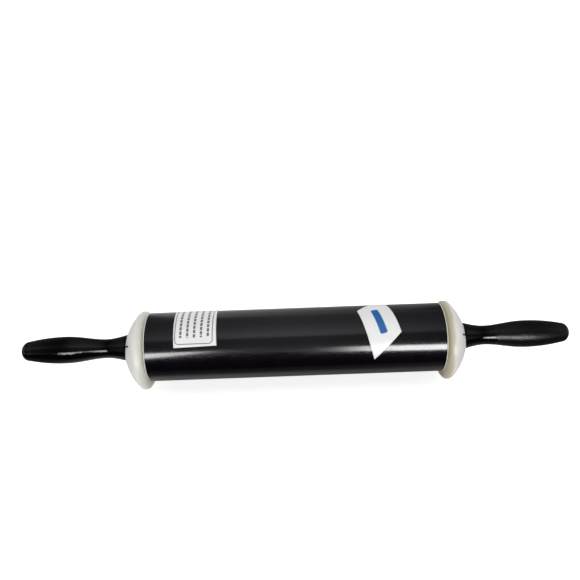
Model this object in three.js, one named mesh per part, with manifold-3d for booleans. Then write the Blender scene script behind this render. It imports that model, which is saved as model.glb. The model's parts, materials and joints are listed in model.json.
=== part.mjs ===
// Adjustable rolling pin.
//
// A coated tube spins on a steel axle between two off-centre gauge discs. Each disc turns on its handle's
// spigot, so its rim reaches further below the tube or less far, and that sets the thickness of the dough.
// Millimetres. The axle lies along X, the front is -Y and +Z is up. The discs stand on Z = 0, set for the
// thickest dough. Every piece is made about the axle first, and the whole pin is then lifted to its height.

import * as THREE from 'three';
import { mergeVertices } from 'three/addons/utils/BufferGeometryUtils.js';
import loadManifold from 'manifold-3d';

// Barrel
const tubeDiameter = 63.5;
const tubeWall = 1.65;
const tubeLength = 268.5;

// End plugs, pressed into the tube
const plugFlangeThickness = 0.8;
const plugFlangeInset = 0.2;
const plugDepth = 14;
const plugWall = 2.4;
const plugWebThickness = 3;
const plugHubWall = 3;
const plugHubLength = 18;
const plugRibCount = 6;
const plugRibThickness = 2;
const plugRibSetback = 3;

// Axle and what the barrel spins on
const shaftDiameter = 8;
const shaftInHandle = 75;
const shaftChamfer = 0.8;
const bushWall = 2.8;
const bushLength = 16;
const bushFlangeWidth = 2.6;
const bushFlangeThickness = 1.5;
const thrustWasherThickness = 1;

// Gauge discs: the dough's limits give the rim's radius and how far it is off-centre
const thinnestDough = 0;
const thickestDough = 10;
const discDepth = 24.5;
const discWall = 4.5;
const treadStart = 4.5;
const treadWidth = 1.8;
const rimRound = 8;
const rimLand = 1.5;
const domeShoulder = 3.4;
const domeCrownRadius = 17;
const cavityStraight = 10;
const cavityCeilingRadius = 14;
const journalLength = 10.2;
const socketWall = 2.5;
const discRibCount = 6;
const discRibThickness = 2;
const discRibSetback = 4;

// Index bars, let into the discs beside the handles
const barLength = 10;
const barWidth = 1.6;
const barDepth = 1.5;
const barProud = 0.3;
const barFromSocket = 0.5;
const barTurn = 31;

// Handles
const spigotDiameter = 16;
const collarStep = 4.3;
const collarBelowCrown = 2.85;
const neckDiameter = 17.8;
const bellyDiameter = 25;
const heelDiameter = 18;
const collarToNeck = 19.5;
const neckToBelly = 38.5;
const bellyToHeel = 33.5;
const heelToTip = 7;
const gripEase = 1 / 3;
const bellyEase = 0.4;
const heelFullness = 0.7;
const tipFullness = 0.55;

// Pins that lock the handles to the axle, and pins that stop the discs after half a turn
const crossPinDiameter = 3;
const crossPinInset = 0.4;
const stopPinDiameter = 2;
const stopPinSeat = 4;
const stopPinReach = 2;
const stopPinTurn = 120;
const gaugeTurn = 180;

// Retaining rings and spring washers
const ringShoulder = 1.2;
const ringThickness = 1;
const ringGrooveDepth = 0.7;
const ringRise = 2.6;
const ringGap = 50;
const springHeight = 1.4;
const springSheet = 0.4;
const springWidth = 3;
const springWaves = 3;

// Labels: an edge has a run along the tube and a rise round the tube, towards the back
const labelThickness = 0.2;
const labelGap = 0.12;
const borderedLabelFromEnd = 24.9;
const borderedLabelTurn = -16;
const borderedLabelTilt = 1.5;
const borderedLabelWidth = 38;
const borderedLabelHeight = 58;
const slantedLabelFromEnd = 40.25;
const slantedLabelTurn = 2.5;
const slantedShortRun = 24.4;
const slantedShortRise = 24.7;
const slantedLongLean = 12.7;
const slantedLongRise = 48.6;

// Clearances
const fitClearance = 0.1;
const runningClearance = 0.1;
const sideClearance = 0.1;
const socketClearance = 0.3;
const stopClearance = 0.25;
const discToBarrel = 0.3;
const springClearance = 0.05;

// How finely round pieces are faceted
const largeSides = 40;
const handleSides = 24;
const smallSides = 20;
const springSides = 36;
const curveSteps = 6;
const borderedLabelSteps = [1, 18];
const slantedLabelSteps = [9, 15];
const overshoot = 1;
const halfTurn = 180;

// Radii that follow
const tubeRadius = tubeDiameter / 2;
const tubeBore = tubeRadius - tubeWall;
const plugRadius = tubeBore - fitClearance;
const shaftRadius = shaftDiameter / 2;
const bushBore = shaftRadius + runningClearance;
const bushRadius = bushBore + bushWall;
const bushFlangeRadius = bushRadius + bushFlangeWidth;
const plugBore = bushRadius + fitClearance;
const plugHubRadius = plugBore + plugHubWall;
const offCentre = (thickestDough - thinnestDough) / 2;
const rimRadius = tubeRadius + (thickestDough + thinnestDough) / 2;
const cavityRadius = rimRadius - rimRound - rimLand;
const spigotRadius = spigotDiameter / 2;
const journalBore = spigotRadius + runningClearance;
const collarRadius = spigotRadius + collarStep;
const socketRadius = collarRadius + socketClearance;
const hubRadius = socketRadius + socketWall;
const ringGrooveRadius = spigotRadius - ringGrooveDepth;
const barMiddle = socketRadius + barFromSocket + barLength / 2;
const stopPinRadius = stopPinDiameter / 2;
const stopPinCircle = (journalBore + collarRadius) / 2;

// Places along the axle, from the middle of the pin to the tip of a handle
const tubeEnd = tubeLength / 2;
const plugFace = tubeEnd + plugFlangeThickness;
const bushFace = plugFace + bushFlangeThickness;
const washerInner = bushFace + sideClearance;
const washerOuter = washerInner + thrustWasherThickness;
const spigotEnd = washerOuter + sideClearance;
const ringInner = spigotEnd + ringShoulder;
const ringOuter = ringInner + ringThickness;
const hubEnd = ringOuter + springHeight;
const discInner = plugFace + discToBarrel;
const discCrown = discInner + discDepth;
const socketFloor = hubEnd + journalLength;
const crossPinAt = (hubEnd + socketFloor) / 2;
const collarSeat = socketFloor + sideClearance;
const collarEnd = discCrown - collarBelowCrown;
const neckAt = collarEnd + collarToNeck;
const bellyAt = neckAt + neckToBelly;
const heelAt = bellyAt + bellyToHeel;
const tipAt = heelAt + heelToTip;
const shaftEnd = spigotEnd + shaftInHandle;

// The rim's lowest facet lies flat on Z = 0
const axleHeight = offCentre + rimRadius * Math.cos(Math.PI / largeSides);

const wasm = await loadManifold();
wasm.setup();

// A closed geometry as a solid that can be joined and cut
function toSolid(geometry) {
  geometry.deleteAttribute('normal');
  geometry.deleteAttribute('uv');
  const merged = mergeVertices(geometry);
  const corners = merged.index.array;
  const kept = [];
  for (let i = 0; i < corners.length; i += 3) {
    const [a, b, c] = [corners[i], corners[i + 1], corners[i + 2]];
    if (a !== b && b !== c && c !== a) kept.push(a, b, c);
  }
  const vertProperties = merged.attributes.position.array;
  return new wasm.Manifold(new wasm.Mesh({ numProp: 3, vertProperties, triVerts: new Uint32Array(kept) }));
}

function toGeometry(solid) {
  const mesh = solid.getMesh();
  const geometry = new THREE.BufferGeometry();
  geometry.setAttribute('position', new THREE.BufferAttribute(mesh.vertProperties, 3));
  geometry.setIndex(new THREE.BufferAttribute(mesh.triVerts, 1));
  geometry.computeVertexNormals();
  return geometry;
}

// A lathe about X. The outline is [along, radius] pairs that rise along the outside, and it starts and ends
// on the axis or closes on itself. A turn is an angle about X, from straight up towards the front.
function turned(outline, sides, turn = 0) {
  const points = outline.map(([along, radius]) => new THREE.Vector2(radius, along));
  const geometry = new THREE.LatheGeometry(points, sides, turn);
  geometry.rotateZ(-Math.PI / 2);
  return geometry;
}

function rod(from, to, radius, sides = smallSides) {
  return turned([[from, 0], [from, radius], [to, radius], [to, 0]], sides);
}

function tube(from, to, inner, outer, sides = smallSides) {
  return turned([[from, inner], [from, outer], [to, outer], [to, inner], [from, inner]], sides);
}

// A short rod along X, moved off the axle by its circle's radius and turned to its place
function pegAt(from, to, radius, circle, turn) {
  const geometry = rod(from, to, radius);
  geometry.translate(0, 0, circle);
  geometry.rotateX(THREE.MathUtils.degToRad(turn));
  return geometry;
}

// A flat shape, drawn with its own right towards +Y and its up towards +Z, given a thickness along X
function plate(shape, from, to) {
  const geometry = new THREE.ExtrudeGeometry(shape, {
    depth: to - from,
    bevelEnabled: false,
    curveSegments: smallSides,
  });
  geometry.rotateY(Math.PI / 2);
  geometry.rotateX(Math.PI / 2);
  geometry.translate(from, 0, 0);
  return geometry;
}

// The angle in a plate's shape of a turn about X
function shapeAngle(turn) {
  return Math.PI / 2 + THREE.MathUtils.degToRad(turn);
}

function curve(from, firstHandle, secondHandle, to, steps = curveSteps) {
  const guides = [from, firstHandle, secondHandle, to].map((guide) => new THREE.Vector2(...guide));
  return new THREE.CubicBezierCurve(...guides).getPoints(steps).map((point) => [point.x, point.y]);
}

// Thin radial ribs about the axle, as one list of boxes
function ribs(count, thickness, fromRadius, toRadius, from, to) {
  return Array.from({ length: count }, (_, i) => {
    const box = new THREE.BoxGeometry(to - from, thickness, toRadius - fromRadius);
    box.translate((from + to) / 2, 0, (fromRadius + toRadius) / 2);
    box.rotateX((2 * Math.PI * i) / count);
    return toSolid(box);
  });
}

function mirrorAcrossMiddle(geometry) {
  const copy = geometry.clone();
  copy.scale(-1, 1, 1);
  const corners = copy.index.array;
  for (let i = 0; i < corners.length; i += 3) {
    const first = corners[i];
    corners[i] = corners[i + 1];
    corners[i + 1] = first;
  }
  copy.computeVertexNormals();
  return copy;
}

function barrelTube() {
  return toSolid(tube(-tubeEnd, tubeEnd, tubeBore, tubeRadius, largeSides));
}

// A cup with a flange over the tube's end, a web, a hub for the bush and ribs behind the web
function endPlug() {
  const flangeRadius = tubeRadius - plugFlangeInset;
  const sleeveEnd = tubeEnd - plugDepth;
  const sleeveBore = plugRadius - plugWall;
  const webBack = plugFace - plugWebThickness;
  const hubBack = plugFace - plugHubLength;
  const cup = toSolid(turned([
    [sleeveEnd, plugRadius],
    [tubeEnd, plugRadius],
    [tubeEnd, flangeRadius],
    [plugFace, flangeRadius],
    [plugFace, plugBore],
    [hubBack, plugBore],
    [hubBack, plugHubRadius],
    [webBack, plugHubRadius],
    [webBack, sleeveBore],
    [sleeveEnd, sleeveBore],
    [sleeveEnd, plugRadius],
  ], largeSides));
  const ribEnd = sleeveEnd + plugRibSetback;
  const inHub = (plugBore + plugHubRadius) / 2;
  const inSleeve = plugRadius - plugWall / 2;
  const inWeb = plugFace - plugWebThickness / 2;
  const spokes = ribs(plugRibCount, plugRibThickness, inHub, inSleeve, ribEnd, inWeb);
  return spokes.reduce((solid, spoke) => solid.add(spoke), cup);
}

function bearingBush() {
  return toSolid(turned([
    [plugFace - bushLength, bushBore],
    [plugFace - bushLength, bushRadius],
    [plugFace, bushRadius],
    [plugFace, bushFlangeRadius],
    [bushFace, bushFlangeRadius],
    [bushFace, bushBore],
    [plugFace - bushLength, bushBore],
  ], smallSides));
}

function thrustWasher() {
  return toSolid(tube(washerInner, washerOuter, bushBore, bushFlangeRadius));
}

// A rod across the axle, which locks the spigot to it
function crossPin(clearance = 0) {
  const halfLength = spigotRadius - crossPinInset + (clearance ? overshoot : 0);
  const geometry = rod(-halfLength, halfLength, crossPinDiameter / 2 + clearance);
  geometry.rotateY(-Math.PI / 2);
  geometry.translate(crossPinAt, 0, 0);
  return toSolid(geometry);
}

function axleShaft() {
  const tipRadius = shaftRadius - shaftChamfer;
  const bar = toSolid(turned([
    [-shaftEnd, 0],
    [-shaftEnd, tipRadius],
    [-shaftEnd + shaftChamfer, shaftRadius],
    [shaftEnd - shaftChamfer, shaftRadius],
    [shaftEnd, tipRadius],
    [shaftEnd, 0],
  ], smallSides));
  const hole = crossPin(fitClearance);
  return bar.subtract(hole).subtract(hole.translate(-2 * crossPinAt, 0, 0));
}

// The disc's outside: a flat inner face, a rounded rim with a narrow tread, and a dome
function discEnvelope() {
  const treadInner = discInner + treadStart;
  const treadOuter = treadInner + treadWidth;
  const geometry = turned([
    [discInner, 0],
    ...curve(
      [discInner, rimRadius - rimRound],
      [discInner, rimRadius - rimRound / 2],
      [discInner + treadStart / 2, rimRadius],
      [treadInner, rimRadius],
    ),
    ...curve(
      [treadOuter, rimRadius],
      [treadOuter + domeShoulder, rimRadius],
      [discCrown, domeCrownRadius],
      [discCrown, 0],
    ),
  ], largeSides, Math.PI / largeSides);
  geometry.translate(0, 0, -offCentre);
  return toSolid(geometry);
}

// The hollow behind the dome, open towards the barrel
function discCavity() {
  const ceiling = discCrown - discWall;
  const geometry = turned([
    [discInner - overshoot, 0],
    [discInner - overshoot, cavityRadius],
    [discInner + cavityStraight, cavityRadius],
    [ceiling, cavityCeilingRadius],
    [ceiling, 0],
  ], largeSides, Math.PI / largeSides);
  geometry.translate(0, 0, -offCentre);
  return toSolid(geometry);
}

// The stop pin's track round the axle: half a turn, with round ends
function stopGroove() {
  const halfWidth = stopPinRadius + stopClearance;
  const start = shapeAngle(stopPinTurn - gaugeTurn);
  const end = shapeAngle(stopPinTurn);
  const middleOf = (angle) => [stopPinCircle * Math.cos(angle), stopPinCircle * Math.sin(angle)];
  const outline = new THREE.Shape();
  outline.absarc(0, 0, stopPinCircle + halfWidth, start, end, false);
  outline.absarc(...middleOf(end), halfWidth, end, end + Math.PI, false);
  outline.absarc(0, 0, stopPinCircle - halfWidth, end, start, true);
  outline.absarc(...middleOf(start), halfWidth, start + Math.PI, start + 2 * Math.PI, false);
  const floor = socketFloor - stopPinReach - stopClearance;
  return toSolid(plate(outline, floor, socketFloor + overshoot));
}

// A block over the index bar's place, as deep as the disc
function barBlock(clearance = 0) {
  const depth = discDepth + overshoot;
  const block = new THREE.BoxGeometry(depth, barWidth + 2 * clearance, barLength + 2 * clearance);
  block.translate(discInner + depth / 2, 0, barMiddle);
  block.rotateX(THREE.MathUtils.degToRad(barTurn));
  return toSolid(block);
}

// The bar's slot in the dome, with a floor that follows it
function barSlot() {
  return barBlock(fitClearance).subtract(discEnvelope().translate(-barDepth - fitClearance, 0, 0));
}

// A domed shell with a hub about the axle. The hub has a journal for the spigot, a socket for the handle's
// collar and the stop pin's groove.
function gaugeDisc() {
  const envelope = discEnvelope();
  const hub = toSolid(rod(hubEnd, discCrown, hubRadius, largeSides));
  const spokes = ribs(
    discRibCount, discRibThickness, (journalBore + hubRadius) / 2, rimRadius + offCentre,
    discInner + discRibSetback, discCrown,
  );
  const inside = spokes.reduce((solid, spoke) => solid.add(spoke), hub).intersect(envelope);
  const journal = toSolid(rod(discInner - overshoot, discCrown + overshoot, journalBore, handleSides));
  const socket = toSolid(rod(socketFloor, discCrown + overshoot, socketRadius, largeSides));
  return envelope
    .subtract(discCavity())
    .add(inside)
    .subtract(journal)
    .subtract(socket)
    .subtract(stopGroove())
    .subtract(barSlot());
}

// The bar's face follows the dome and stands a little proud of it
function indexBar() {
  const dome = discEnvelope();
  return barBlock().intersect(dome.translate(barProud, 0, 0)).subtract(dome.translate(-barDepth, 0, 0));
}

function stopPin(clearance = 0) {
  const from = socketFloor - stopPinReach;
  const to = collarSeat + stopPinSeat + clearance;
  return toSolid(pegAt(from, to, stopPinRadius + clearance, stopPinCircle, stopPinTurn));
}

// A turned grip on a spigot: collar, neck, belly, heel and a rounded tip. Each stretch eases out of its ends
// over a share of its length.
function handle() {
  const neckRadius = neckDiameter / 2;
  const bellyRadius = bellyDiameter / 2;
  const heelRadius = heelDiameter / 2;
  const grip = toSolid(turned([
    [spigotEnd, 0],
    [spigotEnd, spigotRadius],
    [ringInner - fitClearance, spigotRadius],
    [ringInner - fitClearance, ringGrooveRadius],
    [ringOuter + fitClearance, ringGrooveRadius],
    [ringOuter + fitClearance, spigotRadius],
    [collarSeat, spigotRadius],
    [collarSeat, collarRadius],
    ...curve(
      [collarEnd, collarRadius],
      [collarEnd + collarToNeck * gripEase, (collarRadius + neckRadius) / 2],
      [neckAt - collarToNeck * gripEase, neckRadius],
      [neckAt, neckRadius],
    ),
    ...curve(
      [neckAt, neckRadius],
      [neckAt + neckToBelly * gripEase, neckRadius],
      [bellyAt - neckToBelly * bellyEase, bellyRadius],
      [bellyAt, bellyRadius],
    ).slice(1),
    ...curve(
      [bellyAt, bellyRadius],
      [bellyAt + bellyToHeel * gripEase, bellyRadius],
      [heelAt - bellyToHeel * gripEase, heelRadius + (bellyRadius - heelRadius) * heelFullness],
      [heelAt, heelRadius],
    ).slice(1),
    ...curve(
      [heelAt, heelRadius],
      [heelAt + heelToTip * tipFullness, heelRadius],
      [tipAt, heelRadius * tipFullness],
      [tipAt, 0],
    ).slice(1),
  ], handleSides));
  const bore = toSolid(rod(spigotEnd - overshoot, shaftEnd + fitClearance, shaftRadius + fitClearance));
  return grip.subtract(bore).subtract(crossPin(fitClearance)).subtract(stopPin(fitClearance));
}

// An open ring that snaps into the spigot's groove, with its gap at the bottom
function retainingRing() {
  const inner = ringGrooveRadius + fitClearance;
  const outer = spigotRadius + ringRise;
  const reach = halfTurn - ringGap / 2;
  const start = shapeAngle(-reach);
  const end = shapeAngle(reach);
  const outline = new THREE.Shape();
  outline.absarc(0, 0, outer, start, end, false);
  outline.absarc(0, 0, inner, end, start, true);
  return toSolid(plate(outline, ringInner, ringOuter));
}

// A thin washer bent into waves between the retaining ring and the disc's hub
function springWasher() {
  const inner = spigotRadius + fitClearance;
  const back = (ringOuter + hubEnd - springSheet) / 2;
  const swing = (springHeight - springSheet) / 2 - springClearance;
  const geometry = tube(back, back + springSheet, inner, inner + springWidth, springSides);
  const points = geometry.attributes.position;
  for (let i = 0; i < points.count; i += 1) {
    const angle = Math.atan2(points.getY(i), points.getZ(i));
    points.setX(i, points.getX(i) + swing * Math.cos(springWaves * angle));
  }
  return toSolid(geometry);
}

// A four-sided sticker, wrapped round the tube with its middle at the given turn
function wrappedLabel(middleAlong, middleTurn, [firstEdge, secondEdge], steps) {
  const geometry = new THREE.BoxGeometry(1, 1, 1, ...steps, 1);
  const points = geometry.attributes.position;
  for (let i = 0; i < points.count; i += 1) {
    const [first, second, depth] = [points.getX(i), points.getY(i), points.getZ(i)];
    const along = middleAlong + first * firstEdge[0] + second * secondEdge[0];
    const round = first * firstEdge[1] + second * secondEdge[1];
    const angle = THREE.MathUtils.degToRad(middleTurn) - round / tubeRadius;
    const radius = tubeRadius + labelGap + (depth + 0.5) * labelThickness;
    points.setXYZ(i, along, -radius * Math.sin(angle), radius * Math.cos(angle));
  }
  return toSolid(geometry);
}

// Half of a label's extent along the tube
function halfRun([firstEdge, secondEdge]) {
  return (Math.abs(firstEdge[0]) + Math.abs(secondEdge[0])) / 2;
}

function borderedLabel() {
  const tilt = THREE.MathUtils.degToRad(borderedLabelTilt);
  const edges = [
    [borderedLabelWidth * Math.cos(tilt), borderedLabelWidth * Math.sin(tilt)],
    [-borderedLabelHeight * Math.sin(tilt), borderedLabelHeight * Math.cos(tilt)],
  ];
  const middle = -tubeEnd + borderedLabelFromEnd + halfRun(edges);
  return wrappedLabel(middle, borderedLabelTurn, edges, borderedLabelSteps);
}

function slantedLabel() {
  const edges = [[slantedShortRun, slantedShortRise], [-slantedLongLean, slantedLongRise]];
  const middle = tubeEnd - slantedLabelFromEnd - halfRun(edges);
  return wrappedLabel(middle, slantedLabelTurn, edges, slantedLabelSteps);
}

const finishes = {
  blackCoating: { color: 0x232325, roughness: 0.35, metalness: 0.2 },
  blackPlastic: { color: 0x0b0b0c, roughness: 0.18, metalness: 0 },
  milkyPlastic: { color: 0xdcdbd2, roughness: 0.45, metalness: 0 },
  steel: { color: 0xb4b6b8, roughness: 0.35, metalness: 1 },
  springSteel: { color: 0x6d6f72, roughness: 0.4, metalness: 1 },
  bronze: { color: 0xa87b45, roughness: 0.5, metalness: 1 },
  paper: { color: 0xf4f4f1, roughness: 0.6, metalness: 0 },
};

function piece(name, geometry, finish) {
  const mesh = new THREE.Mesh(geometry, new THREE.MeshStandardMaterial(finishes[finish]));
  mesh.name = name;
  return mesh;
}

const barrel = new THREE.Group();
barrel.add(piece('barrel_tube', toGeometry(barrelTube()), 'blackCoating'));
barrel.add(piece('bordered_label', toGeometry(borderedLabel()), 'paper'));
barrel.add(piece('slanted_label', toGeometry(slantedLabel()), 'paper'));

const axle = new THREE.Group();
axle.add(piece('axle_shaft', toGeometry(axleShaft()), 'steel'));

const leftGauge = new THREE.Group();
const rightGauge = new THREE.Group();

// Each end has the same pieces, and the left end mirrors the right
const endPieces = [
  ['end_plug', endPlug(), 'milkyPlastic', barrel, barrel],
  ['bearing_bush', bearingBush(), 'bronze', barrel, barrel],
  ['thrust_washer', thrustWasher(), 'steel', axle, axle],
  ['handle', handle(), 'blackPlastic', axle, axle],
  ['cross_pin', crossPin(), 'steel', axle, axle],
  ['stop_pin', stopPin(), 'steel', axle, axle],
  ['retaining_ring', retainingRing(), 'springSteel', axle, axle],
  ['spring_washer', springWasher(), 'springSteel', axle, axle],
  ['gauge_disc', gaugeDisc(), 'milkyPlastic', leftGauge, rightGauge],
  ['index_bar', indexBar(), 'blackPlastic', leftGauge, rightGauge],
];
for (const [name, solid, finish, leftGroup, rightGroup] of endPieces) {
  const geometry = toGeometry(solid);
  rightGroup.add(piece(`right_${name}`, geometry, finish));
  leftGroup.add(piece(`left_${name}`, mirrorAcrossMiddle(geometry), finish));
}

const rollingPin = new THREE.Group();
rollingPin.add(axle, barrel, leftGauge, rightGauge);
rollingPin.position.z = axleHeight;

export default rollingPin;
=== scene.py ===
# %% [markdown]
# # An adjustable rolling pin
#
# A black coated tube spins on an axle between two turned handles. At each end of the tube sits a milky
# plastic disc, off-centre, whose rim holds the tube above the worktop by the thickness of the dough. The
# solids of the pin are already made and packed, at their real size and in metres. This lesson gives them
# their looks: it loads them as a fixed frame, lays smooth surfaces over the faceted pieces that show, and
# makes a finish for every piece.

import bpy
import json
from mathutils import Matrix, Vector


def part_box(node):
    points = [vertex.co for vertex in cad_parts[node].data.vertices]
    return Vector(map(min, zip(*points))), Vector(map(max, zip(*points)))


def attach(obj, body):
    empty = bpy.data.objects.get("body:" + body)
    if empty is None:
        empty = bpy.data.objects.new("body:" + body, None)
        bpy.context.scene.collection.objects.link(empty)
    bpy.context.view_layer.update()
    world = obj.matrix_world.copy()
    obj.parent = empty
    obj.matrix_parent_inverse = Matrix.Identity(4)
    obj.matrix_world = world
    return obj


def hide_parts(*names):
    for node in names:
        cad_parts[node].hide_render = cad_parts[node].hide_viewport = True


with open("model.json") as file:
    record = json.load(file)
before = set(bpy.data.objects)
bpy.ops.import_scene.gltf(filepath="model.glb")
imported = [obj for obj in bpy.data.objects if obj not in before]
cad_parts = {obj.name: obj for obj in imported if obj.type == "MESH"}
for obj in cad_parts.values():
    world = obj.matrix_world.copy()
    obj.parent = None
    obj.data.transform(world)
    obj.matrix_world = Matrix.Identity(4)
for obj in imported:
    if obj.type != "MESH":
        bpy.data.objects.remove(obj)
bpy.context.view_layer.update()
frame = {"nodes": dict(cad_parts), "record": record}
print("pieces in the frame:", len(frame["nodes"]))

# %% Import what the lesson needs
import json
import math

import bmesh
import bpy
import numpy as np
from mathutils import Matrix, Vector

mm = 0.001
quarter_turn = math.pi / 2
scene = bpy.context.scene
scene.view_settings.view_transform = "Standard"

# %% [markdown]
# ## Where things are
#
# No piece of the pin is placed by eye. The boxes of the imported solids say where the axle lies, how long the
# tube is and where each disc and handle begins and ends, so a surface that is worked out from them lands on
# its solid.

# %% Read the places from the frame
tube_low, tube_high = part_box("barrel_tube")
disc_low, disc_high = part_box("right_gauge_disc")
handle_low, handle_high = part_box("right_handle")
plug_low, plug_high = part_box("right_end_plug")

tube_end = tube_high.x
tube_radius = (tube_high.z - tube_low.z) / 2
axle_height = (tube_high.z + tube_low.z) / 2
disc_height = (disc_high.z + disc_low.z) / 2
rim_radius = (disc_high.z - disc_low.z) / 2
off_centre = axle_height - disc_height
print(f"axle {axle_height / mm:.2f} mm up, discs {off_centre / mm:.2f} mm off-centre")

# %% [markdown]
# ## The camera
#
# The photograph looks down on the pin from in front. Its perspective was measured from the edges of the
# tube and the tips of the handles: the lens is a little over half a metre from the axle, on a line that
# rises 56 degrees, and it points somewhat above the axle, so the pin lies below the middle of the picture.
# A small roll lifts the right end.

# %% Set up the camera
picture_width = 580
sensor_width = 36
focal_pixels = 576.1
lens_to_axle = 542.1 * mm
lens_aside = -3.2 * mm
sight_rise = math.radians(56)
lens_dip = math.radians(50.85)
lens_roll = math.radians(-2.07)

camera_data = bpy.data.cameras.new("photo_camera")
camera_data.sensor_width = sensor_width
camera_data.lens = sensor_width * focal_pixels / picture_width
camera_data.clip_start = 10 * mm
camera = bpy.data.objects.new("photo_camera", camera_data)
scene.collection.objects.link(camera)
camera.location = (
    lens_aside,
    -lens_to_axle * math.cos(sight_rise),
    axle_height + lens_to_axle * math.sin(sight_rise),
)
tilt = Matrix.Rotation(quarter_turn - lens_dip, 4, "X")
roll = Matrix.Rotation(lens_roll, 4, "Z")
camera.rotation_euler = (tilt @ roll).to_euler()
scene.camera = camera
print(f"lens {camera_data.lens:.2f} mm")

# %% [markdown]
# ## Surfaces from arrays
#
# Every new piece is a grid of points, worked out by numpy as one array. Rows follow a profile, columns go
# round it. The grid could be modelled by hand with the Spin tool, but a formula keeps the sizes readable
# and gives as many columns as the silhouette needs. `skin` turns such a grid into a closed mesh, with its
# poles joined and its faces pointing out. `sheet` is for an open surface, such as a sticker.

# %% Turn a grid into a mesh
sharp_edge = math.radians(50)
same_point = 0.0001 * mm


def grid_faces(index):
    """Faces between neighbours in a grid of point numbers. They face the way of rows cross columns."""
    corners = (index[:-1, :-1], index[1:, :-1], index[1:, 1:], index[:-1, 1:])
    return np.stack(corners, axis=-1).reshape(-1, 4)


def place_mesh(name, mesh):
    """An object at the origin that shows a mesh."""
    piece = bpy.data.objects.new(name, mesh)
    scene.collection.objects.link(piece)
    print(f"{name}: {len(mesh.polygons)} faces")
    return piece


def skin(name, grid, ring=False):
    """A closed mesh over a (rows, columns, 3) grid. Its columns join up, and in a ring its rows too."""
    index = np.arange(grid.shape[0] * grid.shape[1]).reshape(grid.shape[:2])
    index = np.hstack([index, index[:, :1]])
    if ring:
        index = np.vstack([index, index[:1]])
    mesh = bpy.data.meshes.new(name)
    mesh.from_pydata(grid.reshape(-1, 3).tolist(), [], grid_faces(index).tolist())
    work = bmesh.new()
    work.from_mesh(mesh)
    bmesh.ops.remove_doubles(work, verts=work.verts, dist=same_point)
    bmesh.ops.recalc_face_normals(work, faces=work.faces)
    work.to_mesh(mesh)
    work.free()
    mesh.shade_smooth()
    mesh.set_sharp_from_angle(angle=sharp_edge)
    return place_mesh(name, mesh)


def sheet(name, grid, sheet_place=None):
    """An open mesh over a (rows, columns, 3) grid. Its UV map, if any, is called sheet."""
    index = np.arange(grid.shape[0] * grid.shape[1]).reshape(grid.shape[:2])
    faces = grid_faces(index)
    mesh = bpy.data.meshes.new(name)
    mesh.from_pydata(grid.reshape(-1, 3).tolist(), [], faces.tolist())
    if sheet_place is not None:
        layer = mesh.uv_layers.new(name="sheet")
        layer.data.foreach_set("uv", sheet_place.reshape(-1, 2)[faces.ravel()].astype(np.float32).ravel())
    mesh.shade_smooth()
    return place_mesh(name, mesh)


# %% [markdown]
# ## Profiles
#
# A turned piece is a profile carried round the axle. Its straight stretches meet in small rounds, as
# moulded and turned edges do, and its long curves are Bezier curves. Each round also gets a point a little
# way along either side, so that smooth shading stays flat on the long stretches and only bends at the round
# itself.

# %% Draw profiles
round_steps = 4
round_shoulder = 1.35


def full_turn(sides):
    """Angles once round an axis, without the end that repeats the start."""
    return np.linspace(0, 2 * math.pi, sides, endpoint=False)


def bezier(start, start_guide, end_guide, end, steps):
    """A cubic Bezier curve as (steps + 1, 2) points."""
    t = np.linspace(0, 1, steps + 1)[:, None]
    guides = [np.array(point) for point in (start, start_guide, end_guide, end)]
    weights = ((1 - t) ** 3, 3 * t * (1 - t) ** 2, 3 * t**2 * (1 - t), t**3)
    return sum(weight * guide for weight, guide in zip(weights, guides))


def rounded(corner, before, after, radius):
    """A corner replaced by a parabola that reaches a radius away, with a shoulder point on either side."""
    back = (before - corner) / np.linalg.norm(before - corner)
    forth = (after - corner) / np.linalg.norm(after - corner)
    t = np.linspace(0, 1, round_steps + 1)[:, None]
    arc = corner + radius * ((1 - t) ** 2 * back + t**2 * forth)
    shoulder = radius * round_shoulder
    return np.vstack([corner + shoulder * back, arc, corner + shoulder * forth])


def edged(corners, radii):
    """A closed polyline whose corners are rounded by their radii."""
    corners = np.array(corners)
    before, after = np.roll(corners, 1, axis=0), np.roll(corners, -1, axis=0)
    return np.vstack([rounded(*points) for points in zip(corners, before, after, radii)])


def turned(profile, sides):
    """A profile of (along, radius) points carried round the axle."""
    angle = full_turn(sides)
    along, radius = profile[:, :1], profile[:, 1:]
    across = -radius * np.sin(angle)
    height = axle_height + radius * np.cos(angle)
    return np.stack([np.broadcast_to(along, height.shape), across, height], axis=-1)


def both_ends(make, grid, body, node):
    """A piece at the right end and its mirror image at the left, each in place of its solid."""
    pieces = []
    for side, sign in (("right", 1), ("left", -1)):
        piece = make(side, grid * np.array([sign, 1, 1]))
        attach(piece, body.format(side=side))
        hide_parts(f"{side}_{node}")
        pieces.append(piece)
    return pieces


# %% [markdown]
# ## The barrel
#
# The barrel is an aluminium tube, cut square and broken at the edges, under a black coating. It is one
# closed ring profile: outside, end, bore, end. A cylinder primitive would do for the outside, but it has no
# wall, and the tube's edge is what catches the light beside each disc.

# %% Make the barrel
tube_wall = 1.65 * mm
tube_edge = 0.35 * mm
bore_edge = 0.2 * mm
barrel_sides = 224

tube_bore = tube_radius - tube_wall
tube_profile = edged(
    [(-tube_end, tube_bore), (-tube_end, tube_radius), (tube_end, tube_radius), (tube_end, tube_bore)],
    [bore_edge, tube_edge, tube_edge, bore_edge],
)
barrel = skin("barrel_shell", turned(tube_profile, barrel_sides), ring=True)
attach(barrel, "barrel")
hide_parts("barrel_tube")

# %% [markdown]
# ## The end plugs
#
# A plastic plug closes each end of the tube and holds the bush that the barrel spins on. Only the edge of
# its flange shows, as a pale line between the tube and the disc. The whole plug is turned here, so that the
# line has a body.

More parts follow.
